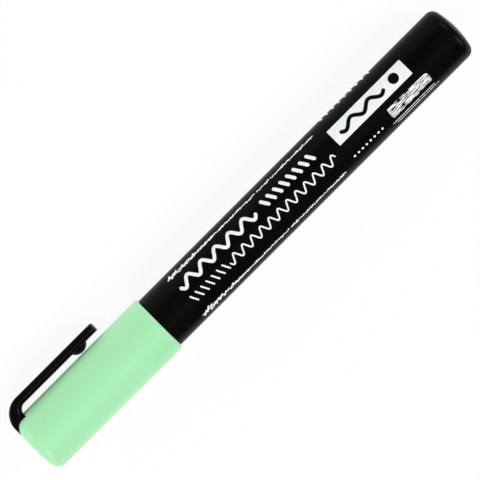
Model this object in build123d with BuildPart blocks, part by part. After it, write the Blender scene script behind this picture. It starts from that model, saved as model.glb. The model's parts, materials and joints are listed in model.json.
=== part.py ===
from build123d import *
from math import asin, atan2, cos, hypot, pi, sin, sqrt
import os

# A liquid chalk marker, lying on a table with its writing tip towards +X.
# Lengths are in millimetres. The X axis is the marker's axis, and the origin is halfway along
# the bare barrel. The clip points to -Y and a little down, so that its lower edge meets the table.

# Barrel: a tube closed by a domed rear end
barrel_length = 98.4  # bare length, from the cap's rim to the crown of the rear end
barrel_diameter = 14.3
barrel_wall = 1.15
barrel_end_wall = 1.6
barrel_crown = 1.15  # how far the domed rear end rises
barrel_rear_radius = 2.2
barrel_bottom_radius = 1.0  # rounding at the bottom of the reservoir
barrel_mouth_radius = 0.25

# Cap: drafted shell, notched at its closed end for the clip
cap_length = 41.6
cap_overhang = 0.67  # how far the rim stands out from the barrel
cap_taper = 0.12  # how much the radius narrows towards the closed end
cap_wall = 1.2
cap_end_wall = 1.5
cap_end_radius = 2.7
cap_rim_radius = 0.6
cap_mouth_chamfer = 0.25
cap_bottom_radius = 0.8  # rounding inside the closed end
cap_bore_step = 0.2  # the bore is this much narrower past the neck
cap_seat_gap = 0.04
cap_fit = 0.04  # radial play on the snap bead

# Inner cap: liner that seals round the nib
inner_cap_wall = 0.7
inner_cap_end_wall = 1.0
inner_cap_corner_radius = 1.6
inner_cap_neck_gap = 0.8
inner_cap_end_gap = 0.65  # room behind the clip's tang
inner_cap_flange_length = 1.0
inner_cap_rib_height = 0.3
inner_cap_rib_width = 0.8
inner_cap_rib_count = 8
inner_cap_seal_height = 0.15
inner_cap_seal_radius = 0.5
inner_cap_seal_place = 1.4  # from the liner's mouth
press_fit = 0.03  # radial gap drawn between pieces that are pressed together
seal_fit = 0.04

# Section: the front holder, pressed into the barrel's mouth
neck_length = 8.5
neck_edge_radius = 0.4
snap_height = 0.18
snap_radius = 0.6
snap_place = 4.2  # from the cap's rim
snap_groove_play = 0.08
land_length = 3.0  # the cylinder that the inner cap seals on
nose_length = 21.0  # from the cap's rim to the front of the nose
nose_wall = 1.15
nose_lip_radius = 0.5
nose_shoulder_radius = 0.6
plug_length = 14.0
plug_wall = 0.95
plug_lead = 0.5
plug_rib_height = 0.25
plug_rib_width = 1.0
plug_rib_count = 3
plug_rib_pitch = 2.6
nib_guide_length = 11.0
nib_guide_fit = 0.05
flute_count = 6
flute_diameter = 0.9
chamber_gap = 1.1  # room for liquid round the nib's rear half

# Nib: round fibre nib
nib_diameter = 5.0
nib_length = 28.0
nib_reach = 7.5  # how far the nib stands out of the nose
nib_point = 3.8  # length of the rounded point
nib_heel_chamfer = 0.5
nib_travel = 2.5  # how far the nib is pushed in

# Valve behind the nib
seat_room = 0.9  # left between the pushed nib and the seat
seat_thickness = 3.0
seat_hole_diameter = 3.2
seat_cone_length = 1.7
seat_cone_margin = 0.15
valve_play = 0.05
stem_diameter = 2.2
stem_collar_diameter = 5.0
stem_collar_length = 0.9
stem_collar_play = 0.2  # radial, for liquid to pass inside the cage
stem_pin_diameter = 2.0
stem_pin_engagement = 0.5
stem_edge_radius = 0.3
cage_flange_length = 1.6
cage_wall = 0.8
cage_end_wall = 1.0
cage_pin_play = 0.15
cage_window_count = 4
cage_window_width = 2.2
cage_window_margin = 1.2
cage_snap_height = 0.15
cage_snap_radius = 0.4
spring_length = 8.0
spring_wire = 0.45
spring_turns = 5
spring_play = 0.06

# Mixing ball, lying at the lower end of the reservoir
ball_diameter = 6.0
ball_gap = 0.15
ball_end_gap = 0.9

# Clip: stepped arm on a root that fills the cap's notch
clip_length = 30.2  # from the cap's closed end to the tip
clip_gap = 1.38  # from the height of the cap's rim to the arm
clip_thickness = 2.33
clip_outer_bend = 5.3
clip_inner_bend = 2.0
clip_root_length = 3.9
clip_root_depth = 3.7  # how far the root reaches in from the cap's outside
clip_root_width = 7.5
clip_tip_width = 6.2
clip_taper_place = 9.0  # from the cap's closed end to where the arm starts to narrow
clip_tip_radius = 2.0
clip_edge_radius = 0.4
clip_inner_edge_radius = 0.25
clip_heel_radius = 0.5
clip_end_recess = 0.03  # the root lies this much below the cap's end face
clip_rib_depth = 0.75
clip_rib_width = 5.0
clip_shoulder = 0.75  # the root has its full width up to this far inside the cap's outside
bead_length = 4.5
bead_place = 24.1  # from the cap's closed end
bead_clearance = 0.12
bead_width = 4.4
bead_edge_radius = 0.5
notch_side_play = 0.08
notch_back_play = 0.1
notch_bottom_play = 0.1
tang_thickness = 1.6
tang_width = 5.0
tang_gap = 0.1
tang_reach = 2.6  # past the marker's axis
tang_corner_radius = 1.2
peg_diameter = 2.0
peg_length = 1.9
peg_play = 0.3

overrun = 1.0  # how far cuts run past the faces they open

# Places along the axis
seat_x = barrel_length / 2
rear_x = -barrel_length / 2
end_x = seat_x + cap_length
nose_x = seat_x + nose_length
nib_tip_x = nose_x + nib_reach
nib_rear_x = nib_tip_x - nib_length
guide_x = nose_x - nib_guide_length
seat_front_x = nib_rear_x - nib_travel - seat_room
seat_rear_x = seat_front_x - seat_thickness
flange_rear_x = seat_rear_x - cage_flange_length
plug_rear_x = seat_x - plug_length

# Radii
barrel_radius = barrel_diameter / 2
bore_radius = barrel_radius - barrel_wall
crown_radius = (barrel_radius**2 + barrel_crown**2) / (2 * barrel_crown)
reservoir_crown_radius = crown_radius - barrel_end_wall
reservoir_crown = reservoir_crown_radius - sqrt(reservoir_crown_radius**2 - bore_radius**2)
reservoir_x = rear_x + barrel_end_wall
rim_radius = barrel_radius + cap_overhang
end_radius = rim_radius - cap_taper
mouth_radius = rim_radius - cap_wall
cap_bore_radius = mouth_radius - cap_bore_step
snap_top_radius = mouth_radius - cap_fit
neck_radius = snap_top_radius - snap_height
liner_rib_radius = cap_bore_radius - press_fit
liner_radius = liner_rib_radius - inner_cap_rib_height
liner_bore_radius = liner_radius - inner_cap_wall
liner_seal_radius = liner_bore_radius - inner_cap_seal_height
land_radius = liner_seal_radius - seal_fit
plug_radius = bore_radius - press_fit
plug_core_radius = plug_radius - plug_rib_height
valve_bore_radius = plug_radius - plug_wall
nib_radius = nib_diameter / 2
guide_radius = nib_radius + nib_guide_fit
nose_radius = guide_radius + nose_wall
chamber_radius = nib_radius + chamber_gap
flange_radius = valve_bore_radius - press_fit
collar_radius = stem_collar_diameter / 2
cage_bore_radius = collar_radius + stem_collar_play
cage_radius = cage_bore_radius + cage_wall
ball_radius = ball_diameter / 2

# Barrel
with BuildPart() as barrel:
    with BuildSketch() as barrel_profile:
        with BuildLine():
            TangentArc((rear_x, 0), (rear_x + barrel_crown, barrel_radius), tangent=(0, 1))
            Polyline(
                (rear_x + barrel_crown, barrel_radius),
                (seat_x, barrel_radius),
                (seat_x, bore_radius),
                (reservoir_x + reservoir_crown, bore_radius),
            )
            TangentArc((reservoir_x, 0), (reservoir_x + reservoir_crown, bore_radius), tangent=(0, 1))
            Line((reservoir_x, 0), (rear_x, 0))
        make_face()
        rear_corner = (rear_x + barrel_crown, barrel_radius)
        fillet(barrel_profile.vertices().sort_by_distance(rear_corner)[0], barrel_rear_radius)
        bottom_corner = (reservoir_x + reservoir_crown, bore_radius)
        fillet(barrel_profile.vertices().sort_by_distance(bottom_corner)[0], barrel_bottom_radius)
        mouth_corner = (seat_x, barrel_radius)
        fillet(barrel_profile.vertices().sort_by_distance(mouth_corner)[0], barrel_mouth_radius)
    revolve(axis=Axis.X)
barrel.part.label = "barrel"

# Section: plug in the barrel, neck for the cap, nose round the nib
with BuildPart() as section:
    with BuildSketch() as section_profile:
        with BuildLine():
            Polyline(
                (plug_rear_x, valve_bore_radius),
                (plug_rear_x, plug_core_radius),
                (seat_x, plug_core_radius),
                (seat_x, neck_radius),
                (seat_x + neck_length, neck_radius),
                (seat_x + neck_length, land_radius),
                (seat_x + neck_length + land_length, land_radius),
                (nose_x, nose_radius),
                (nose_x, guide_radius),
                (guide_x, guide_radius),
                (guide_x, chamber_radius),
                (seat_front_x, chamber_radius),
                (seat_front_x, valve_bore_radius),
                close=True,
            )
        make_face()
        neck_corner = (seat_x + neck_length, neck_radius)
        fillet(section_profile.vertices().sort_by_distance(neck_corner)[0], neck_edge_radius)
        shoulder_corner = (seat_x + neck_length, land_radius)
        fillet(section_profile.vertices().sort_by_distance(shoulder_corner)[0], nose_shoulder_radius)
        lip_corner = (nose_x, nose_radius)
        fillet(section_profile.vertices().sort_by_distance(lip_corner)[0], nose_lip_radius)
        lead_corner = (plug_rear_x, plug_core_radius)
        chamfer(section_profile.vertices().sort_by_distance(lead_corner)[0], plug_lead)
    revolve(axis=Axis.X)
    with BuildSketch():
        for rib in range(plug_rib_count):
            rib_x = seat_x - plug_rib_pitch * (rib + 1)
            with Locations((rib_x, (plug_radius + valve_bore_radius) / 2)):
                Rectangle(plug_rib_width, plug_radius - valve_bore_radius)
        with Locations((seat_x + snap_place, snap_top_radius - snap_radius)):
            Circle(snap_radius)
        cage_snap_x = flange_rear_x - cage_snap_radius - press_fit
        with Locations((cage_snap_x, valve_bore_radius + cage_snap_radius - cage_snap_height)):
            Circle(cage_snap_radius)
    revolve(axis=Axis.X)
    with BuildSketch(Plane.YZ.offset(guide_x)):
        with PolarLocations(guide_radius, flute_count):
            Circle(flute_diameter / 2)
    extrude(amount=nib_guide_length + overrun, mode=Mode.SUBTRACT)
section.part.label = "section"

# Nib
with BuildPart() as nib:
    with BuildSketch() as nib_profile:
        with BuildLine():
            Polyline(
                (nib_tip_x, 0),
                (nib_rear_x, 0),
                (nib_rear_x, nib_radius),
                (nib_tip_x - nib_point, nib_radius),
            )
            EllipticalCenterArc((nib_tip_x - nib_point, 0), nib_point, nib_radius, arc_size=90)
        make_face()
        chamfer(nib_profile.vertices().sort_by_distance((nib_rear_x, nib_radius))[0], nib_heel_chamfer)
    revolve(axis=Axis.X)
nib.part.label = "nib"

# Valve seat: soft ring with a conical mouth towards the reservoir
seat_hole_radius = seat_hole_diameter / 2
seat_mouth_radius = collar_radius + seat_cone_margin
with BuildPart() as valve_seat:
    with BuildSketch():
        with BuildLine():
            Polyline(
                (seat_front_x, seat_hole_radius),
                (seat_front_x, flange_radius),
                (seat_rear_x, flange_radius),
                (seat_rear_x, seat_mouth_radius),
                (seat_rear_x + seat_cone_length, seat_hole_radius),
                close=True,
            )
        make_face()
    revolve(axis=Axis.X)
valve_seat.part.label = "valve_seat"

# Valve stem: rod to the nib, cone on the seat, collar and pin for the spring
stem_radius = stem_diameter / 2
cone_slope = seat_cone_length / (seat_mouth_radius - seat_hole_radius)
cone_front_x = seat_rear_x + seat_cone_length - valve_play + cone_slope * (seat_hole_radius - stem_radius)
cone_rear_x = cone_front_x - cone_slope * (collar_radius - stem_radius)
collar_rear_x = cone_rear_x - stem_collar_length
cage_bottom_x = collar_rear_x - spring_length
cage_rear_x = cage_bottom_x - cage_end_wall
stem_rear_x = cage_bottom_x - stem_pin_engagement
pin_radius = stem_pin_diameter / 2
with BuildPart() as valve_stem:
    with BuildSketch() as stem_profile:
        with BuildLine():
            Polyline(
                (nib_rear_x - valve_play, 0),
                (nib_rear_x - valve_play, stem_radius),
                (cone_front_x, stem_radius),
                (cone_rear_x, collar_radius),
                (collar_rear_x, collar_radius),
                (collar_rear_x, pin_radius),
                (stem_rear_x, pin_radius),
                (stem_rear_x, 0),
                close=True,
            )
        make_face()
        fillet(stem_profile.vertices().sort_by_distance((nib_rear_x, stem_radius))[0], stem_edge_radius)
        fillet(stem_profile.vertices().sort_by_distance((stem_rear_x, pin_radius))[0], stem_edge_radius)
    revolve(axis=Axis.X)
valve_stem.part.label = "valve_stem"

# Valve cage: windowed cup that holds the spring behind the seat
window_front_x = flange_rear_x - cage_window_margin
window_rear_x = cage_bottom_x + cage_window_margin
with BuildPart() as valve_cage:
    with BuildSketch():
        with BuildLine():
            Polyline(
                (seat_rear_x, cage_bore_radius),
                (seat_rear_x, flange_radius),
                (flange_rear_x, flange_radius),
                (flange_rear_x, cage_radius),
                (cage_rear_x, cage_radius),
                (cage_rear_x, pin_radius + cage_pin_play),
                (cage_bottom_x, pin_radius + cage_pin_play),
                (cage_bottom_x, cage_bore_radius),
                close=True,
            )
        make_face()
    revolve(axis=Axis.X)
    with BuildSketch(Plane.YZ.offset(window_rear_x)):
        with PolarLocations(cage_radius, cage_window_count):
            Rectangle(2 * cage_wall + overrun, cage_window_width)
    extrude(amount=window_front_x - window_rear_x, mode=Mode.SUBTRACT)
valve_cage.part.label = "valve_cage"

# Valve spring: one wire wound from the collar to the bottom of the cage
coil_radius = collar_radius - spring_wire / 2 - spring_play
coil_front_x = collar_rear_x - spring_wire / 2 - spring_play
coil_rear_x = cage_bottom_x + spring_wire / 2 + spring_play
coil_pitch = (coil_front_x - coil_rear_x) / spring_turns
quarters = 4 * spring_turns


def coil_point(quarter):
    angle = quarter * pi / 2
    climb = coil_pitch * quarter / 4
    return Vector(coil_rear_x + climb, coil_radius * cos(angle), coil_radius * sin(angle))


def coil_heading(quarter):
    angle = quarter * pi / 2
    return Vector(coil_pitch / (2 * pi), -coil_radius * sin(angle), coil_radius * cos(angle)).normalized()


with BuildPart() as valve_spring:
    with BuildLine() as spring_path:
        for quarter in range(quarters):
            start, end = coil_point(quarter), coil_point(quarter + 1)
            heading, arrival = coil_heading(quarter), coil_heading(quarter + 1)
            chord = end - start
            turn = heading + arrival
            along = chord.dot(turn)
            spread = 4 - turn.dot(turn)
            reach = (sqrt(along**2 + spread * chord.dot(chord)) - along) / spread
            knee = start + heading * reach
            elbow = end - arrival * reach
            middle = (knee + elbow) / 2
            TangentArc(start, middle, tangent=heading)
            TangentArc(middle, end, tangent=(elbow - knee).normalized())
    with BuildSketch(Plane(origin=coil_point(0), z_dir=coil_heading(0))):
        Circle(spring_wire / 2)
    sweep()
valve_spring.part.label = "valve_spring"
print("least gap of the spring to itself", round(coil_pitch - spring_wire, 3))

# Mixing ball
ball_x = reservoir_x + ball_radius + ball_end_gap
ball_z = -(bore_radius - ball_radius - ball_gap)
with BuildPart() as mixing_ball:
    with Locations((ball_x, 0, ball_z)):
        Sphere(ball_radius)
mixing_ball.part.label = "mixing_ball"

# Clip heights above the marker's axis, and the plane that the clip stands in
clip_inner = rim_radius + clip_gap
clip_outer = clip_inner + clip_thickness
root_bottom = end_radius - clip_root_depth
root_top = end_radius - clip_shoulder
clip_end_x = end_x - clip_end_recess
root_x = end_x - clip_root_length
clip_tip_x = end_x - clip_length
bead_x = end_x - bead_place
bead_bottom = rim_radius + bead_clearance
tang_front_x = end_x - cap_end_wall - tang_gap
clip_half_width = clip_root_width / 2
clip_drop = asin(rim_radius / hypot(clip_outer, clip_half_width)) - atan2(clip_half_width, clip_outer)
clip_up = Vector(0, -cos(clip_drop), -sin(clip_drop))
clip_side_plane = Plane(origin=(0, 0, 0), x_dir=(1, 0, 0), z_dir=Vector(1, 0, 0).cross(clip_up))
clip_top_plane = Plane(origin=(0, 0, 0), x_dir=(1, 0, 0), z_dir=clip_up)

# Cap shell, with a snap groove, a peg for the clip's tang and the clip's notch
cap_mouth_x = seat_x + cap_seat_gap
bore_step_x = seat_x + neck_length + inner_cap_neck_gap
cap_bottom_x = end_x - cap_end_wall
notch_back_x = root_x - notch_back_play
notch_bottom = root_bottom - notch_bottom_play
with BuildPart() as cap_shell:
    with BuildSketch() as cap_profile:
        with BuildLine():
            Polyline(
                (cap_mouth_x, mouth_radius),
                (cap_mouth_x, rim_radius),
                (end_x, end_radius),
                (end_x, 0),
                (cap_bottom_x, 0),
                (cap_bottom_x, cap_bore_radius),
                (bore_step_x, cap_bore_radius),
                (bore_step_x, mouth_radius),
                close=True,
            )
        make_face()
        fillet(cap_profile.vertices().sort_by_distance((end_x, end_radius))[0], cap_end_radius)
        cap_corner = (cap_bottom_x, cap_bore_radius)
        fillet(cap_profile.vertices().sort_by_distance(cap_corner)[0], cap_bottom_radius)
        fillet(cap_profile.vertices().sort_by_distance((cap_mouth_x, rim_radius))[0], cap_rim_radius)
        chamfer(cap_profile.vertices().sort_by_distance((cap_mouth_x, mouth_radius))[0], cap_mouth_chamfer)
    revolve(axis=Axis.X)
    with BuildSketch():
        with Locations((seat_x + snap_place, snap_top_radius - snap_radius)):
            Circle(snap_radius + cap_fit + snap_groove_play)
    revolve(axis=Axis.X, mode=Mode.SUBTRACT)
    with BuildSketch(Plane.YZ.offset(cap_bottom_x)):
        Circle(peg_diameter / 2)
    extrude(amount=-peg_length)
    with BuildSketch(clip_side_plane):
        with Locations((notch_back_x, notch_bottom)):
            notch_reach = end_x + overrun - notch_back_x
            Rectangle(notch_reach, clip_outer - notch_bottom, align=(Align.MIN, Align.MIN))
    extrude(amount=clip_half_width + notch_side_play, both=True, mode=Mode.SUBTRACT)
cap_shell.part.label = "cap_shell"

# Inner cap: cup with a seal ring at its mouth and ribs that hold it in the cap
liner_mouth_x = seat_x + neck_length + inner_cap_neck_gap
liner_end_x = root_x - inner_cap_end_gap
liner_bottom_x = liner_end_x - inner_cap_end_wall
with BuildPart() as inner_cap:
    with BuildSketch() as liner_profile:
        with BuildLine():
            Polyline(
                (liner_mouth_x, liner_bore_radius),
                (liner_mouth_x, liner_rib_radius),
                (liner_mouth_x + inner_cap_flange_length, liner_rib_radius),
                (liner_mouth_x + inner_cap_flange_length, liner_radius),
                (liner_end_x, liner_radius),
                (liner_end_x, 0),
                (liner_bottom_x, 0),
                (liner_bottom_x, liner_bore_radius),
                close=True,
            )
        make_face()
        liner_corner = (liner_end_x, liner_radius)
        fillet(liner_profile.vertices().sort_by_distance(liner_corner)[0], inner_cap_corner_radius)
        cup_corner = (liner_bottom_x, liner_bore_radius)
        cup_corner_radius = inner_cap_corner_radius - inner_cap_wall
        fillet(liner_profile.vertices().sort_by_distance(cup_corner)[0], cup_corner_radius)
    revolve(axis=Axis.X)
    with BuildSketch():
        with Locations((liner_mouth_x + inner_cap_seal_place, liner_seal_radius + inner_cap_seal_radius)):
            Circle(inner_cap_seal_radius)
    revolve(axis=Axis.X)
    rib_length = liner_end_x - inner_cap_corner_radius - liner_mouth_x
    with BuildSketch(Plane.YZ.offset(liner_mouth_x)):
        with PolarLocations(liner_radius, inner_cap_rib_count):
            Rectangle(2 * inner_cap_rib_height, inner_cap_rib_width)
    extrude(amount=rib_length)
inner_cap.part.label = "inner_cap"

# Clip: faces of the plate and of the rib behind it
plate_root_x = root_x + clip_rib_depth
plate_inner = clip_inner + clip_rib_depth
rib_back_x = plate_root_x + clip_inner_edge_radius
rib_back = plate_inner + clip_inner_edge_radius
rib_back_bend = clip_inner_bend + clip_rib_depth + clip_inner_edge_radius
clip_height = Axis((0, 0, 0), clip_up)

# Plan of the clip, which narrows to a rounded tip
with BuildSketch(clip_top_plane) as clip_plan:
    with BuildLine():
        Polyline(
            (clip_end_x, clip_half_width),
            (end_x - clip_taper_place, clip_half_width),
            (clip_tip_x, clip_tip_width / 2),
            (clip_tip_x, -clip_tip_width / 2),
            (end_x - clip_taper_place, -clip_half_width),
            (clip_end_x, -clip_half_width),
            close=True,
        )
    make_face()
    fillet(clip_plan.vertices().sort_by(Axis.X)[:2], clip_tip_radius)

# Rib along the inside of the arm, sunk a little into the plate
with BuildPart() as clip_rib:
    with BuildSketch(clip_side_plane) as rib_profile:
        with BuildLine():
            Polyline(
                (clip_tip_x, clip_inner),
                (root_x, clip_inner),
                (root_x, root_bottom),
                (rib_back_x, root_bottom),
                (rib_back_x, rib_back),
                (clip_tip_x, rib_back),
                close=True,
            )
        make_face()
        fillet(rib_profile.vertices().sort_by_distance((root_x, clip_inner))[0], clip_inner_bend)
        fillet(rib_profile.vertices().sort_by_distance((rib_back_x, rib_back))[0], rib_back_bend)
    extrude(amount=clip_rib_width / 2, both=True)
    extrude(clip_plan.sketch, amount=clip_outer + overrun, mode=Mode.INTERSECT)
    rib_face = clip_rib.faces().filter_by(clip_height).sort_by(clip_height)[-2]
    fillet(rib_face.edges().sort_by(Axis.X)[:-1], clip_inner_edge_radius)

# Plate, with the rib, the root, the bead and the tang joined to it
with BuildPart() as clip:
    with BuildSketch(clip_side_plane) as plate_profile:
        with BuildLine():
            Polyline(
                (clip_tip_x, plate_inner),
                (plate_root_x, plate_inner),
                (plate_root_x, root_bottom),
                (clip_end_x, root_bottom),
                (clip_end_x, clip_outer),
                (clip_tip_x, clip_outer),
                close=True,
            )
        make_face()
        plate_bend = (plate_root_x, plate_inner)
        fillet(plate_profile.vertices().sort_by_distance(plate_bend)[0], clip_inner_bend + clip_rib_depth)
        outer_bend = (clip_end_x, clip_outer)
        fillet(plate_profile.vertices().sort_by_distance(outer_bend)[0], clip_outer_bend)
        heel = (clip_end_x, root_bottom)
        fillet(plate_profile.vertices().sort_by_distance(heel)[0], clip_heel_radius)
    extrude(amount=clip_half_width, both=True)
    extrude(clip_plan.sketch, amount=clip_outer + overrun, mode=Mode.INTERSECT)
    outer_face = clip.faces().sort_by(clip_height)[-1]
    fillet(outer_face.edges().sort_by(Axis.X)[:-1], clip_edge_radius)
    plate_face = clip.faces().filter_by(clip_height).sort_by(clip_height)[-2]
    fillet(plate_face.edges().sort_by(Axis.X)[:-1], clip_inner_edge_radius)
    add(clip_rib.part)
    with BuildSketch(clip_side_plane):
        with Locations((root_x, root_bottom)):
            Rectangle(rib_back_x - root_x, root_top - root_bottom, align=(Align.MIN, Align.MIN))
    extrude(amount=clip_half_width, both=True)
    bead_lowest = clip_side_plane.from_local_coords((bead_x, bead_bottom))
    with BuildSketch(clip_side_plane):
        with BuildLine():
            bead_start = (bead_x - bead_length / 2, clip_inner)
            bead_end = (bead_x + bead_length / 2, clip_inner)
            ThreePointArc(bead_start, (bead_x, bead_bottom), bead_end)
            Polyline(
                bead_end,
                (bead_x + bead_length / 2, plate_inner),
                (bead_x - bead_length / 2, plate_inner),
                bead_start,
            )
        make_face()
    extrude(amount=bead_width / 2, both=True)
    bead_face = clip.faces().filter_by(GeomType.CYLINDER).sort_by_distance(bead_lowest)[0]
    fillet(bead_face.edges().filter_by(GeomType.CIRCLE), bead_edge_radius)
    with BuildSketch(clip_side_plane):
        with Locations((tang_front_x, -tang_reach)):
            Rectangle(tang_thickness, tang_reach + root_top, align=(Align.MAX, Align.MIN))
    extrude(amount=tang_width / 2, both=True)
    tang_corners = clip.edges().filter_by(Axis.X).sort_by(clip_height)[:2]
    fillet(tang_corners, tang_corner_radius)
    with BuildSketch(Plane.YZ.offset(tang_front_x)):
        Circle(peg_diameter / 2 + peg_play)
    extrude(amount=-tang_thickness - overrun, mode=Mode.SUBTRACT)
clip.part.label = "clip"

os.makedirs("parts", exist_ok=True)
pieces = (
    barrel,
    section,
    nib,
    valve_seat,
    valve_stem,
    valve_spring,
    valve_cage,
    mixing_ball,
    cap_shell,
    inner_cap,
    clip,
)
for piece in pieces:
    export_step(piece.part, f"parts/{piece.part.label}.step")
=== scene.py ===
import json
import math

import bpy
from mathutils import Matrix, Vector


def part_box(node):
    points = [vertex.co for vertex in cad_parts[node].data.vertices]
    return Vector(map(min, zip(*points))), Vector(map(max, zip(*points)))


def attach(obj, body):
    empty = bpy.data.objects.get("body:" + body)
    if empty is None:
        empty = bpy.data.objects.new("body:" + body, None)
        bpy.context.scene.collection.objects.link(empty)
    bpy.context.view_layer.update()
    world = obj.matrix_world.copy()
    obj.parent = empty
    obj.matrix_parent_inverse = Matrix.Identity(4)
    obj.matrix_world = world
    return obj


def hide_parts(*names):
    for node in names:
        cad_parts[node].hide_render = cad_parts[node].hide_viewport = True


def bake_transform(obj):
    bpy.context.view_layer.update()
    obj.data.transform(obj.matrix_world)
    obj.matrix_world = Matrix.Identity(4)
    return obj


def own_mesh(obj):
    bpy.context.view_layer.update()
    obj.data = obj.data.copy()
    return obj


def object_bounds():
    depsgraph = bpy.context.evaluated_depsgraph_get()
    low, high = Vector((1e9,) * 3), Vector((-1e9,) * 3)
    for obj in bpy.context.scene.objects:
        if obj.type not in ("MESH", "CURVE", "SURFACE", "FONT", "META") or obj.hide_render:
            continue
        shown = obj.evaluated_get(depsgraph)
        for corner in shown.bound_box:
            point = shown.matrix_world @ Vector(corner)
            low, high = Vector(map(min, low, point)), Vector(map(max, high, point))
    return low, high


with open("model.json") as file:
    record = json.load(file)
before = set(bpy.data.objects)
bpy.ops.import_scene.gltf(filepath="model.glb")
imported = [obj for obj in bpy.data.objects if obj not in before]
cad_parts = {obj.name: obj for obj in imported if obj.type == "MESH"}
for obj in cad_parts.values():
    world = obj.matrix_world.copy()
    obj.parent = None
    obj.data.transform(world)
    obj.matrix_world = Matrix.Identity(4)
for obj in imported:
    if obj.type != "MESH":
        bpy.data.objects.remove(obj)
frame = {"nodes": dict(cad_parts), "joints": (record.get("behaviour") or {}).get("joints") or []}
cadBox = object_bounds()
scene = bpy.context.scene
nodes = frame["nodes"]
joints = {joint["name"]: joint for joint in frame["joints"]}
mm = 0.001

# the photo looks along the clip's hinge, so the frame gives the view
axisDir = Vector((1, 0, 0))
viewDir = Vector(joints["clip_flex"]["axis"]).normalized()
clipDir = axisDir.cross(viewDir)
viewTilt = math.atan2(-viewDir.y, viewDir.z)

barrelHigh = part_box("barrel")[1]
barrelRadius = barrelHigh.z
rimX = barrelHigh.x  # the barrel's front end, where the cap's rim meets it
print("frame loaded:", len(nodes), "nodes, barrel radius", round(barrelRadius / mm, 3), "mm")


# node helpers

def addNode(tree, kind, inputs=None, **settings):
    node = tree.nodes.new(kind)
    for name, value in settings.items():
        setattr(node, name, value)
    for key, value in (inputs or {}).items():
        if isinstance(value, bpy.types.NodeSocket):
            tree.links.new(value, node.inputs[key])
        else:
            node.inputs[key].default_value = value
    return node


def maths(tree, operation, *values):
    return addNode(tree, "ShaderNodeMath", dict(enumerate(values)), operation=operation).outputs[0]


def vectorMaths(tree, operation, *values):
    return addNode(tree, "ShaderNodeVectorMath", dict(enumerate(values)), operation=operation).outputs[0]


def scaleVector(tree, vector, factor):
    inputs = {0: vector, "Scale": factor}
    return addNode(tree, "ShaderNodeVectorMath", inputs, operation="SCALE").outputs[0]


def combine(tree, x=0.0, y=0.0, z=0.0):
    return addNode(tree, "ShaderNodeCombineXYZ", {"X": x, "Y": y, "Z": z}).outputs[0]


def separate(tree, vector):
    return addNode(tree, "ShaderNodeSeparateXYZ", {0: vector}).outputs


def startMaterial(name):
    material = bpy.data.materials.new(name)
    material.use_nodes = True
    tree = material.node_tree
    tree.nodes.clear()
    shader = addNode(tree, "ShaderNodeBsdfPrincipled")
    addNode(tree, "ShaderNodeOutputMaterial", {"Surface": shader.outputs["BSDF"]})
    place = addNode(tree, "ShaderNodeTexCoord").outputs["Object"]
    return material, tree, shader, place


def addNoise(tree, place, scale, stretch=(1, 1, 1), detail=3.0):
    moved = addNode(tree, "ShaderNodeMapping", {"Vector": place, "Scale": stretch}).outputs[0]
    inputs = {"Vector": moved, "Scale": scale, "Detail": detail}
    return addNode(tree, "ShaderNodeTexNoise", inputs).outputs["Fac"]


# a Mix node's colours are its sockets 6 and 7, and its mixed colour is output 2
def mixColors(tree, factor, first, second):
    mix = addNode(tree, "ShaderNodeMix", {0: factor}, data_type="RGBA")
    for socket, value in ((mix.inputs[6], first), (mix.inputs[7], second)):
        if isinstance(value, bpy.types.NodeSocket):
            tree.links.new(value, socket)
        else:
            socket.default_value = (*value, 1)
    return mix.outputs[2]


# noise lies mostly between 0.3 and 0.7, so that span fills the range asked for
def remap(tree, value, low, high, fromLow=0.3, fromHigh=0.7):
    inputs = {"Value": value, "From Min": fromLow, "From Max": fromHigh, "To Min": low, "To Max": high}
    return addNode(tree, "ShaderNodeMapRange", inputs).outputs["Result"]


# finishes

def setColor(tree, shader, pattern, look):
    tone = remap(tree, pattern, 0.0, 1.0)
    tree.links.new(mixColors(tree, tone, look["dark"], look["light"]), shader.inputs["Base Color"])


def setRoughness(tree, shader, pattern, look):
    tree.links.new(remap(tree, pattern, *look["roughness"]), shader.inputs["Roughness"])


def setBump(tree, shader, pattern, look):
    inputs = {"Height": pattern, "Strength": look["bump"], "Distance": look["depth"]}
    tree.links.new(addNode(tree, "ShaderNodeBump", inputs).outputs["Normal"], shader.inputs["Normal"])


def mouldedPlastic(name, look):
    material, tree, shader, place = startMaterial(name)
    cloud = addNoise(tree, place, look["cloudScale"], look.get("flow", (1, 1, 1)))
    grain = addNoise(tree, place, look["grainScale"])
    setColor(tree, shader, cloud, look)
    setRoughness(tree, shader, grain, look)
    setBump(tree, shader, grain, look)
    shader.inputs["Specular IOR Level"].default_value = look["specular"]
    if "glow" in look:
        shader.inputs["Subsurface Weight"].default_value = look["glow"]
        shader.inputs["Subsurface Radius"].default_value = look["glowRadius"]
        shader.inputs["Subsurface Scale"].default_value = look["glowDepth"]
    return material


def polishedMetal(name, look):
    material, tree, shader, place = startMaterial(name)
    streak = addNoise(tree, place, look["streakScale"], look["stretch"])
    setColor(tree, shader, streak, look)
    setRoughness(tree, shader, streak, look)
    shader.inputs["Metallic"].default_value = 1.0
    return material


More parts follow.
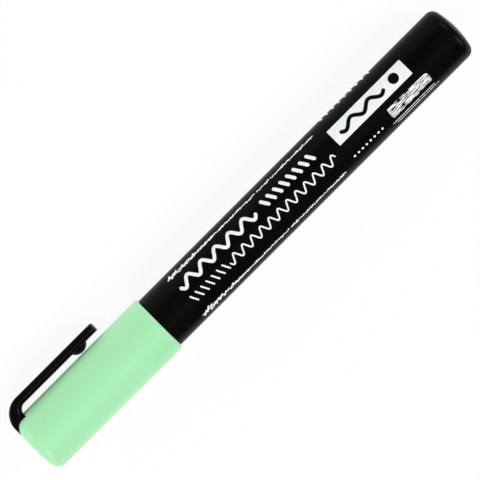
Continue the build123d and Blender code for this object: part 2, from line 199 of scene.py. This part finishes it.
# pale strands, soaked with ink towards the point
def feltFibre(name, look):
    material, tree, shader, place = startMaterial(name)
    strands = addNoise(tree, place, look["strandScale"], look["stretch"], look["strandDetail"])
    along = separate(tree, place)["X"]
    wander = maths(tree, "MULTIPLY", addNoise(tree, place, look["soakScale"]), look["soakWander"])
    soaked = remap(tree, maths(tree, "ADD", along, wander), 0.0, 1.0, look["soakStart"], look["soakEnd"])
    tone = remap(tree, strands, 0.0, 1.0)
    dry = mixColors(tree, tone, look["dark"], look["light"])
    wet = mixColors(tree, tone, look["inkDark"], look["inkLight"])
    tree.links.new(mixColors(tree, soaked, dry, wet), shader.inputs["Base Color"])
    setRoughness(tree, shader, strands, look)
    setBump(tree, shader, strands, look)
    shader.inputs["Specular IOR Level"].default_value = look["specular"]
    shader.inputs["Sheen Weight"].default_value = look["sheen"]
    return material


def chalkInk(name, look):
    material, tree, shader, place = startMaterial(name)
    grain = addNoise(tree, place, look["grainScale"], detail=look["grainDetail"])
    setColor(tree, shader, grain, look)
    setRoughness(tree, shader, grain, look)
    shader.inputs["Specular IOR Level"].default_value = look["specular"]
    return material


capLook = {
    "dark": (0.405, 0.845, 0.472), "light": (0.428, 0.872, 0.497),
    "roughness": (0.36, 0.44), "specular": 0.5, "bump": 0.12, "depth": 0.02 * mm,
    "cloudScale": 90.0, "grainScale": 5200.0, "flow": (0.3, 1, 1),
    "glow": 0.5, "glowRadius": (0.5, 1.0, 0.75), "glowDepth": 1.5 * mm,
}
barrelLook = {
    "dark": (0.0012, 0.0012, 0.0013), "light": (0.0028, 0.0028, 0.003),
    "roughness": (0.3, 0.37), "specular": 0.055, "bump": 0.1, "depth": 0.01 * mm,
    "cloudScale": 70.0, "grainScale": 4200.0, "flow": (0.25, 1, 1),
}
clipLook = {
    "dark": (0.0008, 0.0008, 0.0009), "light": (0.0018, 0.0018, 0.002),
    "roughness": (0.12, 0.17), "specular": 0.3, "bump": 0.05, "depth": 0.01 * mm,
    "cloudScale": 110.0, "grainScale": 3600.0,
}
sectionLook = {
    "dark": (0.008, 0.008, 0.0088), "light": (0.014, 0.014, 0.015),
    "roughness": (0.36, 0.46), "specular": 0.3, "bump": 0.12, "depth": 0.01 * mm,
    "cloudScale": 120.0, "grainScale": 5000.0,
}
linerLook = {
    "dark": (0.72, 0.74, 0.71), "light": (0.82, 0.83, 0.8),
    "roughness": (0.3, 0.42), "specular": 0.4, "bump": 0.08, "depth": 0.01 * mm,
    "cloudScale": 100.0, "grainScale": 4000.0,
    "glow": 0.35, "glowRadius": (1.0, 1.0, 0.9), "glowDepth": 1.0 * mm,
}
valveLook = {
    "dark": (0.74, 0.74, 0.71), "light": (0.84, 0.84, 0.81),
    "roughness": (0.34, 0.44), "specular": 0.4, "bump": 0.08, "depth": 0.01 * mm,
    "cloudScale": 160.0, "grainScale": 5000.0,
    "glow": 0.2, "glowRadius": (1.0, 1.0, 0.9), "glowDepth": 0.6 * mm,
}
rubberLook = {
    "dark": (0.5, 0.5, 0.48), "light": (0.62, 0.62, 0.6),
    "roughness": (0.62, 0.78), "specular": 0.3, "bump": 0.3, "depth": 0.02 * mm,
    "cloudScale": 260.0, "grainScale": 7000.0,
}
springLook = {
    "dark": (0.5, 0.5, 0.5), "light": (0.66, 0.66, 0.65),
    "roughness": (0.18, 0.32), "streakScale": 2600.0, "stretch": (0.4, 1, 1),
}
ballLook = {
    "dark": (0.62, 0.62, 0.62), "light": (0.74, 0.74, 0.74),
    "roughness": (0.05, 0.14), "streakScale": 900.0, "stretch": (1, 1, 1),
}
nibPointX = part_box("nib")[1].x
nibLook = {
    "dark": (0.74, 0.73, 0.69), "light": (0.9, 0.89, 0.86),
    "inkDark": (0.36, 0.74, 0.42), "inkLight": (0.47, 0.86, 0.53),
    "roughness": (0.75, 0.95), "specular": 0.15, "sheen": 0.2, "bump": 0.6, "depth": 0.06 * mm,
    "strandScale": 9000.0, "strandDetail": 4.0, "stretch": (0.05, 1, 1),
    "soakScale": 900.0, "soakWander": 1.6 * mm,
    "soakStart": nibPointX - 5.5 * mm, "soakEnd": nibPointX - 2.5 * mm,
}

finishes = {
    "barrel": mouldedPlastic("satinBlackBarrel", barrelLook),
    "section": mouldedPlastic("blackSection", sectionLook),
    "nib": feltFibre("pressedFibre", nibLook),
    "valve_seat": mouldedPlastic("paleRubber", rubberLook),
    "valve_stem": mouldedPlastic("naturalValvePlastic", valveLook),
    "valve_spring": polishedMetal("drawnSpringWire", springLook),
    "mixing_ball": polishedMetal("polishedBall", ballLook),
    "cap_shell": mouldedPlastic("satinMintCap", capLook),
    "inner_cap": mouldedPlastic("translucentLiner", linerLook),
    "clip": mouldedPlastic("glossyBlackClip", clipLook),
}
finishes["valve_cage"] = finishes["valve_stem"]
for name, node in nodes.items():
    node.data.materials.clear()
    node.data.materials.append(finishes[name])
print("finishes set on", len(nodes), "nodes")


# geometry node helpers

def startTree(name, sizes):
    tree = bpy.data.node_groups.new(name, "GeometryNodeTree")
    for label, (kind, value) in sizes.items():
        socket = tree.interface.new_socket(label, in_out="INPUT", socket_type="NodeSocket" + kind)
        if value is not None:
            socket.default_value = value
    tree.interface.new_socket("Geometry", in_out="OUTPUT", socket_type="NodeSocketGeometry")
    return tree, addNode(tree, "NodeGroupInput").outputs


def bakeTree(name, tree, values):
    holder = bpy.data.objects.new(name + "Maker", bpy.data.meshes.new(name + "Start"))
    scene.collection.objects.link(holder)
    modifier = holder.modifiers.new(name, "NODES")
    modifier.node_group = tree
    sockets = {item.name: item.identifier for item in tree.interface.items_tree if item.in_out == "INPUT"}
    for label, value in values.items():
        modifier[sockets[label]] = value
    depsgraph = bpy.context.evaluated_depsgraph_get()
    mesh = bpy.data.meshes.new_from_object(holder.evaluated_get(depsgraph))
    holder.modifiers.remove(modifier)
    bpy.data.objects.remove(holder)
    mesh.name = name
    piece = bpy.data.objects.new(name, mesh)
    scene.collection.objects.link(piece)
    return piece


def pointPlace(tree):
    return addNode(tree, "GeometryNodeInputPosition").outputs[0]


# a Random Value node's float sockets are 2 and 3, its seed is 8, and its float is output 1
def randomFloat(tree, low, high, seed):
    node = addNode(tree, "FunctionNodeRandomValue", {2: low, 3: high, 8: seed}, data_type="FLOAT")
    return node.outputs[1]


def noiseField(tree, place, scale, detail=2.0):
    return addNode(tree, "ShaderNodeTexNoise", {"Vector": place, "Scale": scale, "Detail": detail}).outputs


# goes from one value at the start of a mark to another at its end
def slide(tree, first, last, share):
    return maths(tree, "ADD", first, maths(tree, "MULTIPLY", maths(tree, "SUBTRACT", last, first), share))


weldReach = 2e-8  # joins only points in the same place


# wraps a flat drawing, x along the barrel and y round it, and makes a closed film of it
def addWrap(tree, flat, given):
    parts = separate(tree, pointPlace(tree))
    turn = maths(tree, "ADD", maths(tree, "DIVIDE", parts["Y"], given["Radius"]), given["Angle"])
    reach = maths(tree, "ADD", given["Radius"], given["Lift"])
    side = maths(tree, "MULTIPLY", maths(tree, "SINE", turn), reach)
    height = maths(tree, "MULTIPLY", maths(tree, "COSINE", turn), reach)
    place = combine(tree, parts["X"], side, height)
    bent = addNode(tree, "GeometryNodeSetPosition", {"Geometry": flat, "Position": place}).outputs[0]
    lifted = {"Mesh": bent, "Offset Scale": given["Film"], "Individual": False}
    raised = addNode(tree, "GeometryNodeExtrudeMesh", lifted).outputs["Mesh"]
    under = addNode(tree, "GeometryNodeFlipFaces", {"Mesh": bent}).outputs[0]
    joined = addNode(tree, "GeometryNodeJoinGeometry")
    for part in (raised, under):
        tree.links.new(part, joined.inputs[0])
    welding = {"Geometry": joined.outputs[0], "Distance": weldReach}
    film = addNode(tree, "GeometryNodeMergeByDistance", welding).outputs[0]
    addNode(tree, "NodeGroupOutput", {0: film})


strokeLook = {
    "shakeScale": 4200.0,  # noise that roughens the edges, per metre
    "tipShare": 0.02,  # share of its width that a rounded end keeps, so its rows stay apart
}


# a sheet one unit square is drawn out along a straight or wavy line
def makeStrokeTree(look):
    tree, given = startTree("chalkStroke", {
        "Start": ("Float", 40.0 * mm), "Length": ("Float", 40.0 * mm), "Slant": ("Float", 0.0),
        "Swing": ("Float", 0.0), "Waves": ("Float", 0.0), "Width": ("Float", 0.6 * mm),
        "End Width": ("Float", 0.6 * mm), "Round": ("Float", 0.02), "Steps": ("Int", 200),
        "Rows": ("Int", 9), "Ragged": ("Float", 0.0), "Bare": ("Float", 0.0), "Patch": ("Float", 2600.0),
        "Streak": ("Float", 1.0), "Angle": ("Float", 0.0), "Radius": ("Float", 7.0 * mm),
        "Lift": ("Float", 0.0), "Film": ("Float", 0.03 * mm),
    })
    grid = {"Size X": 1.0, "Size Y": 1.0, "Vertices X": given["Steps"], "Vertices Y": given["Rows"]}
    sheet = addNode(tree, "GeometryNodeMeshGrid", grid).outputs["Mesh"]
    parts = separate(tree, pointPlace(tree))
    share = maths(tree, "ADD", parts["X"], 0.5)

    # the middle line, and the direction square to it
    turns = maths(tree, "MULTIPLY", given["Waves"], math.tau)
    phase = maths(tree, "MULTIPLY", share, turns)
    sine = maths(tree, "SINE", phase)
    cosine = maths(tree, "COSINE", phase)
    centreX = maths(tree, "SUBTRACT", given["Start"], maths(tree, "MULTIPLY", share, given["Length"]))
    wave = maths(tree, "MULTIPLY", sine, given["Swing"])
    centreY = maths(tree, "ADD", wave, maths(tree, "MULTIPLY", parts["X"], given["Slant"]))
    waveSlope = maths(tree, "MULTIPLY", maths(tree, "MULTIPLY", given["Swing"], turns), cosine)
    slope = maths(tree, "ADD", given["Slant"], waveSlope)
    across = vectorMaths(tree, "NORMALIZE", combine(tree, slope, given["Length"]))

    # the width, rounded off at both ends; Round 0 leaves them square
    fromMiddle = maths(tree, "MULTIPLY", maths(tree, "ABSOLUTE", parts["X"]), 2.0)
    inEnd = maths(tree, "SUBTRACT", fromMiddle, maths(tree, "SUBTRACT", 1.0, given["Round"]))
    inEnd = maths(tree, "MAXIMUM", maths(tree, "DIVIDE", inEnd, given["Round"]), 0.0)
    ending = maths(tree, "SUBTRACT", 1.0, maths(tree, "MULTIPLY", inEnd, inEnd))
    ending = maths(tree, "SQRT", maths(tree, "MAXIMUM", ending, look["tipShare"] ** 2))
    width = maths(tree, "MULTIPLY", slide(tree, given["Width"], given["End Width"], share), ending)
    offset = scaleVector(tree, across, maths(tree, "MULTIPLY", width, parts["Y"]))
    drawn = vectorMaths(tree, "SUBTRACT", combine(tree, centreX, centreY), offset)
    ribbon = addNode(tree, "GeometryNodeSetPosition", {"Geometry": sheet, "Position": drawn}).outputs[0]

    # rough edges: noise from 0 to 1 becomes -1 to 1, within the sheet
    place = pointPlace(tree)
    shake = noiseField(tree, place, look["shakeScale"])["Color"]
    shake = vectorMaths(tree, "SUBTRACT", shake, (0.5, 0.5, 0.5))
    shake = scaleVector(tree, vectorMaths(tree, "MULTIPLY", shake, (2.0, 2.0, 0.0)), given["Ragged"])
    rough = addNode(tree, "GeometryNodeSetPosition", {"Geometry": ribbon, "Offset": shake}).outputs[0]

    # bare patches, drawn out along the stroke by Streak
    flow = vectorMaths(tree, "MULTIPLY", place, combine(tree, given["Streak"], 1.0, 1.0))
    gaps = maths(tree, "LESS_THAN", noiseField(tree, flow, given["Patch"])["Fac"], given["Bare"])
    patches = {"Geometry": rough, "Selection": gaps}
    kept = addNode(tree, "GeometryNodeDeleteGeometry", patches, domain="FACE").outputs[0]
    addWrap(tree, kept, given)
    return tree


fleckLook = {
    "corners": 9, "jag": 0.35,  # the jag is a share of the fleck's size
    "lean": 0.4, "longShares": (0.5, 1.4), "wideShares": (0.6, 1.2),
    "thinScale": 900.0,  # noise that leaves gaps in the row, per metre
}


# a row of ragged crumbs of chalk
def makeFleckTree(look):
    tree, given = startTree("chalkFlecks", {
        "Start": ("Float", 40.0 * mm), "Length": ("Float", 40.0 * mm), "Count": ("Int", 300),
        "Spread": ("Float", 0.4 * mm), "End Spread": ("Float", 0.2 * mm), "Fleck": ("Float", 0.2 * mm),
        "End Fleck": ("Float", 0.2 * mm), "Stretch": ("Float", 2.0), "Tilt": ("Float", 0.0),
        "Bare": ("Float", 0.3), "Seed": ("Int", 1), "Angle": ("Float", 0.0),
        "Radius": ("Float", 7.0 * mm), "Lift": ("Float", 0.0), "Film": ("Float", 0.03 * mm),
    })

    def draw(low, high, number):
        return randomFloat(tree, low, high, maths(tree, "ADD", given["Seed"], float(number)))

    index = addNode(tree, "GeometryNodeInputIndex").outputs[0]
    share = maths(tree, "DIVIDE", index, given["Count"])
    along = maths(tree, "SUBTRACT", given["Start"], maths(tree, "MULTIPLY", share, given["Length"]))
    spread = slide(tree, given["Spread"], given["End Spread"], share)
    fleck = slide(tree, given["Fleck"], given["End Fleck"], share)
    side = maths(tree, "MULTIPLY", draw(-1.0, 1.0, 0), spread)
    row = {"Count": given["Count"], "Position": combine(tree, along, side)}
    points = addNode(tree, "GeometryNodePoints", row).outputs[0]
    cover = noiseField(tree, pointPlace(tree), look["thinScale"])["Fac"]
    gaps = {"Geometry": points, "Selection": maths(tree, "LESS_THAN", cover, given["Bare"])}
    kept = addNode(tree, "GeometryNodeDeleteGeometry", gaps, domain="POINT").outputs[0]

    crumb = {"Vertices": look["corners"], "Radius": 1.0}
    crumb = addNode(tree, "GeometryNodeMeshCircle", crumb, fill_type="NGON").outputs["Mesh"]
    turn = maths(tree, "ADD", draw(-look["lean"], look["lean"], 1), given["Tilt"])
    stretched = maths(tree, "MULTIPLY", fleck, given["Stretch"])
    fleckLength = maths(tree, "MULTIPLY", stretched, draw(*look["longShares"], 2))
    fleckWidth = maths(tree, "MULTIPLY", fleck, draw(*look["wideShares"], 3))
    placed = addNode(tree, "GeometryNodeInstanceOnPoints", {
        "Points": kept, "Instance": crumb,
        "Rotation": combine(tree, z=turn), "Scale": combine(tree, fleckLength, fleckWidth, 1.0)})
    loose = addNode(tree, "GeometryNodeRealizeInstances", {0: placed.outputs[0]}).outputs[0]
    jag = combine(tree, draw(-look["jag"], look["jag"], 4), draw(-look["jag"], look["jag"], 5))
    jag = scaleVector(tree, jag, given["Fleck"])
    ragged = addNode(tree, "GeometryNodeSetPosition", {"Geometry": loose, "Offset": jag}).outputs[0]
    addWrap(tree, ragged, given)
    return tree


strokeTree = makeStrokeTree(strokeLook)
fleckTree = makeFleckTree(fleckLook)


# one print piece: all its strokes and flecks joined, in one ink
def makePrint(name, marks, look, finish):
    tree, given = startTree(name, {
        "Radius": ("Float", 7.0 * mm), "Film": ("Float", 0.03 * mm), "Lift": ("Float", 0.0),
        "Ink": ("Material", None),
    })
    joined = addNode(tree, "GeometryNodeJoinGeometry")
    for mark in marks:
        group = addNode(tree, "GeometryNodeGroup", node_tree=fleckTree if "Count" in mark else strokeTree)
        for label, value in mark.items():
            group.inputs[label].default_value = value
        for label in ("Radius", "Film", "Lift"):
            tree.links.new(given[label], group.inputs[label])
        tree.links.new(group.outputs[0], joined.inputs[0])
    real = addNode(tree, "GeometryNodeRealizeInstances", {0: joined.outputs[0]}).outputs[0]
    inked = addNode(tree, "GeometryNodeSetMaterial", {"Geometry": real, "Material": given["Ink"]}).outputs[0]
    addNode(tree, "NodeGroupOutput", {0: inked})
    values = {"Radius": barrelRadius, "Film": look["film"], "Lift": look["lift"], "Ink": finish}
    return bakeTree(name, tree, values)


# marks start so many mm behind the rim, at degrees round from the line that faces the photo's camera
def placeMark(start, length, degrees):
    return {"Start": rimX - start * mm, "Length": length * mm, "Angle": math.radians(degrees) - viewTilt}


def stroke(start, length, width, degrees):
    return placeMark(start, length, degrees) | {"Width": width * mm, "End Width": width * mm}


# a short straight dab, its ends rounded; rise tilts it round the barrel
def dab(start, length, width, degrees, rise=0.0):
    rounded = min(1.0, width / math.hypot(length, rise))
    finer = {"Slant": rise * mm, "Round": rounded, "Steps": 40, "Ragged": 0.05 * mm}
    return stroke(start, length, width, degrees) | finer


chalkLook = {
    "dark": (0.88, 0.885, 0.9), "light": (0.95, 0.955, 0.965),
    "roughness": (0.45, 0.6), "specular": 0.3, "grainScale": 5200.0, "grainDetail": 5.0,
    "film": 0.025 * mm, "lift": 0.004 * mm,
    "boldBand": -20.5, "thinBand": 13.5, "rubbedBand": 31.5,  # degrees
    "underlines": ((71.8, 53.5), (72.9, 60.0)),  # start in mm, degrees
    "roughLines": ((-52.1, 11), (55.3, 29)),  # degrees, seed
}
boldBand = chalkLook["boldBand"]
thinBand = chalkLook["thinBand"]
dabRows = (
    {"first": 36.6, "pitch": 2.15, "count": 8, "length": 1.5, "width": 0.86, "band": boldBand, "rise": 2.5},
    {"first": 9.4, "pitch": 1.75, "count": 7, "length": 1.1, "width": 0.4, "band": thinBand, "rise": 2.2},
    {"first": 59.8, "pitch": 1.3, "count": 8, "length": 0.62, "width": 0.62, "band": 41.0, "rise": 0.0},
    {"first": 60.2, "pitch": 1.95, "count": 9, "length": 0.5, "width": 0.6, "band": -78.0, "rise": 1.6},
)
chalkMarks = [
    stroke(start=9.2, length=25.0, width=0.86, degrees=boldBand) | {
        "Swing": 1.15 * mm, "Waves": 5.5, "Steps": 420, "Ragged": 0.07 * mm},
    stroke(start=21.6, length=35.2, width=0.4, degrees=thinBand) | {
        "Swing": 1.05 * mm, "Waves": 12.0, "Steps": 640, "Ragged": 0.04 * mm},
    stroke(start=72.8, length=12.9, width=3.1, degrees=chalkLook["rubbedBand"]) | {
        "End Width": 2.7 * mm, "Round": 0.05, "Steps": 260, "Rows": 61, "Ragged": 0.1 * mm,
        "Bare": 0.475, "Patch": 4200.0, "Streak": 0.1},
]
for row in dabRows:
    for step in range(row["count"]):
        start = row["first"] + row["pitch"] * step
        chalkMarks.append(dab(start, row["length"], row["width"], row["band"], row["rise"]))
for start, degrees in chalkLook["underlines"]:
    chalkMarks.append(stroke(start, length=13.6, width=0.3, degrees=degrees) | {
        "End Width": 0.22 * mm, "Steps": 220, "Ragged": 0.08 * mm, "Bare": 0.43})
for degrees, seed in chalkLook["roughLines"]:
    chalkMarks.append(placeMark(start=8.8, length=47.6, degrees=degrees) | {
        "Count": 96, "Spread": 0.2 * mm, "End Spread": 0.1 * mm, "Fleck": 0.22 * mm, "End Fleck": 0.2 * mm,
        "Stretch": 2.4, "Tilt": 0.3, "Bare": 0.36, "Seed": seed})
    chalkMarks.append(placeMark(start=8.9, length=15.0, degrees=degrees) | {
        "Count": 66, "Spread": 0.8 * mm, "End Spread": 0.15 * mm, "Fleck": 0.26 * mm, "End Fleck": 0.16 * mm,
        "Stretch": 1.8, "Tilt": 0.9, "Bare": 0.4, "Seed": seed + 7})
chalkPrint = makePrint("chalkPrint", chalkMarks, chalkLook, chalkInk("whiteChalkInk", chalkLook))

panelLook = {
    "dark": (0.86, 0.87, 0.885), "light": (0.915, 0.925, 0.94),
    "roughness": (0.4, 0.5), "specular": 0.3, "grainScale": 900.0, "grainDetail": 5.0,
    "film": 0.02 * mm, "lift": 0.004 * mm, "band": -14.8,
}
panelMarks = [
    stroke(start=59.3, length=24.0, width=4.75, degrees=panelLook["band"]) | {"Steps": 90, "Round": 0.0},
]
panelPrint = makePrint("panelPrint", panelMarks, panelLook, chalkInk("whitePanelInk", panelLook))

sampleLook = {
    "dark": (0.0018, 0.0018, 0.002), "light": (0.0034, 0.0034, 0.0036),
    "roughness": (0.35, 0.5), "specular": 0.06, "grainScale": 5200.0, "grainDetail": 5.0,
    "film": 0.015 * mm, "lift": 0.028 * mm,  # the lift clears the panel's film
}
sampleMarks = [
    stroke(start=61.4, length=14.6, width=0.95, degrees=panelLook["band"]) | {
        "Swing": 0.8 * mm, "Waves": 2.5, "Steps": 200, "Round": 0.05, "Ragged": 0.03 * mm},
    dab(start=77.9, length=2.7, width=2.7, degrees=panelLook["band"]),
]
samplePrint = makePrint("samplePrint", sampleMarks, sampleLook, chalkInk("blackPanelInk", sampleLook))

printPieces = (chalkPrint, panelPrint, samplePrint)
for piece in printPieces:
    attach(piece, "holder")
print("print:", sum(len(piece.data.polygons) for piece in printPieces), "faces")


# copies of the spring and the clip, the pieces that flex in use

def copyNode(name, label):
    piece = bpy.data.objects.new(label, nodes[name].data.copy())
    scene.collection.objects.link(piece)
    return piece


valveCoil = copyNode("valve_spring", "valveCoil")
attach(valveCoil, "holder")
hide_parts("valve_spring")
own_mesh(valveCoil)

# a copy of the clip, left where the node is
clipArm = copyNode("clip", "clipArm")
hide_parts("clip")
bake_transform(clipArm)
print("coil and clip arm set")


# floor, light and camera

floorLook = {"size": 8.0, "color": (0.95, 0.95, 0.95), "glowShare": 0.92}


# seen straight on or in a reflection it is mostly plain white, but it still takes the object's shadow
def makeFloor(look):
    material = bpy.data.materials.new("paleFloor")
    material.use_nodes = True
    tree = material.node_tree
    tree.nodes.clear()
    paint = addNode(tree, "ShaderNodeBsdfDiffuse", {"Color": (*look["color"], 1)}).outputs[0]
    white = addNode(tree, "ShaderNodeEmission", {"Color": (1, 1, 1, 1), "Strength": 1.0}).outputs[0]
    path = addNode(tree, "ShaderNodeLightPath").outputs
    seen = maths(tree, "MAXIMUM", path["Is Camera Ray"], path["Is Glossy Ray"])
    seen = maths(tree, "MAXIMUM", seen, path["Is Transmission Ray"])
    share = maths(tree, "MULTIPLY", seen, look["glowShare"])
    mix = addNode(tree, "ShaderNodeMixShader", {0: share, 1: paint, 2: white}).outputs[0]
    addNode(tree, "ShaderNodeOutputMaterial", {"Surface": mix})
    mesh = bpy.data.meshes.new("floor")
    half = look["size"] / 2
    height = cadBox[0].z
    corners = [(x, y, height) for x, y in ((-half, -half), (half, -half), (half, half), (-half, half))]
    mesh.from_pydata(corners, [], [(0, 1, 2, 3)])
    mesh.materials.append(material)
    floor = bpy.data.objects.new("floor", mesh)
    scene.collection.objects.link(floor)


lampLooks = {
    "overheadSoftbox": {"place": (0.02, 0.05, 0.9), "size": (1.2, 0.6), "watts": 1.3},
    "frontSoftbox": {"place": (0.02, -0.9, 0.12), "size": (1.4, 0.18), "watts": 1.1},
    "frontLeftSoftbox": {"place": (-0.7, -0.75, 0.4), "size": (0.5, 0.4), "watts": 3.6},
    "frontRightSoftbox": {"place": (0.75, -0.75, 0.4), "size": (0.5, 0.4), "watts": 3.6},
    "backLeftSoftbox": {"place": (-0.75, 0.45, 0.7), "size": (0.5, 0.5), "watts": 6.5},
    "backRightSoftbox": {"place": (0.8, 0.45, 0.7), "size": (0.5, 0.5), "watts": 6.5},
}


def makeLamps(looks, target):
    for name, look in looks.items():
        lamp = bpy.data.lights.new(name, "AREA")
        lamp.shape = "RECTANGLE"
        lamp.size, lamp.size_y = look["size"]
        lamp.energy = look["watts"]
        holder = bpy.data.objects.new(name, lamp)
        holder.location = look["place"]
        holder.rotation_euler = (Vector(target) - holder.location).to_track_quat("-Z", "Y").to_euler()
        scene.collection.objects.link(holder)


worldLook = {"color": (1, 1, 1), "strength": 0.12}


def makeWorld(look):
    world = bpy.data.worlds.new("studio")
    world.use_nodes = True
    background = world.node_tree.nodes["Background"]
    background.inputs["Color"].default_value = (*look["color"], 1)
    background.inputs["Strength"].default_value = look["strength"]
    scene.world = world


# the photo's frame is this wide at the object, and centred here along the axis and towards the clip
cameraLook = {
    "distance": 1.6, "sensor": 36.0, "frameWidth": 112.83 * mm, "centreX": 22.06 * mm, "centreUp": 0.44 * mm,
}


def makeCamera(look):
    data = bpy.data.cameras.new("photoCamera")
    data.sensor_width = look["sensor"]
    data.lens = look["sensor"] * look["distance"] / look["frameWidth"]
    camera = bpy.data.objects.new("photoCamera", data)
    right = (-axisDir - clipDir).normalized()
    up = (-axisDir + clipDir).normalized()
    target = axisDir * look["centreX"] + clipDir * look["centreUp"]
    turn = Matrix((right, up, viewDir)).transposed().to_4x4()
    camera.matrix_world = Matrix.Translation(target + viewDir * look["distance"]) @ turn
    scene.collection.objects.link(camera)
    scene.camera = camera


makeFloor(floorLook)
makeLamps(lampLooks, (cameraLook["centreX"], 0, 0))
makeWorld(worldLook)
makeCamera(cameraLook)
scene.view_settings.view_transform = "Standard"
print("stage set")
